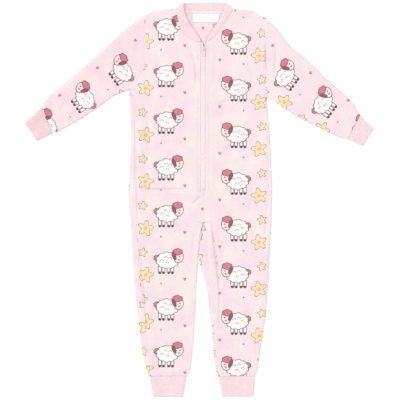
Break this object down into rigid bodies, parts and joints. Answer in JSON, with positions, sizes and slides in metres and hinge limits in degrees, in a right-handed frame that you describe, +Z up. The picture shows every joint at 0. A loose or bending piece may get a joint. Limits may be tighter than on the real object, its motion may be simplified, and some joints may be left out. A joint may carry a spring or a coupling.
{
  "type": "one-piece pajamas",
  "caption": "Child's one-piece fleece pajamas laid flat, with a rib neck band, a long front zip and rib cuffs at wrists and ankles.",
  "frame": {"origin": "middle of the garment's outline, on the surface that it lies on", "axes": "+Y from the feet to the neck, +X across towards the wearer's left side, +Z up from the surface"},
  "size_m": [0.8384, 0.9468, 0.0105],
  "materials": {
    "printed_fleece": "coral fleece with a soft short nap, pale pink with an all-over print",
    "rib_knit": "fine rib knit, deeper pink",
    "neck_tape": "plain jersey tape",
    "label_satin": "woven satin, bare",
    "zip_tape": "woven polyester tape",
    "zip_coil": "nylon coil, pale pink",
    "zip_enamel": "zinc alloy, enamelled pale pink"
  },
  "bodies": {
    "garment": {"front_right": "printed_fleece", "front_left": "printed_fleece", "back_right": "printed_fleece", "back_left": "printed_fleece", "sleeve_right": "printed_fleece", "sleeve_left": "printed_fleece", "sleeve_cuff_right": "rib_knit", "sleeve_cuff_left": "rib_knit", "ankle_cuff_right": "rib_knit", "ankle_cuff_left": "rib_knit", "neckband": "rib_knit", "neck_tape": "neck_tape", "label": "label_satin", "zip_tape_right": "zip_tape", "zip_tape_left": "zip_tape", "zip_chain": "zip_coil", "zip_teeth_right": "zip_coil", "zip_teeth_left": "zip_coil", "zip_top_stop_right": "zip_enamel", "zip_top_stop_left": "zip_enamel", "zip_bottom_stop": "zip_enamel", "zip_slider": "zip_enamel"},
    "pull_tab": {"zip_pull": "zip_enamel"}
  },
  "joints": [
    {"name": "pull_tab_hinge", "type": "hinge", "parent": "garment", "child": "pull_tab", "pos_m": [0.01101, 0.36147, 0.0086], "axis": [-1, 0, 0], "range_deg": [0, 160]}
  ]
}
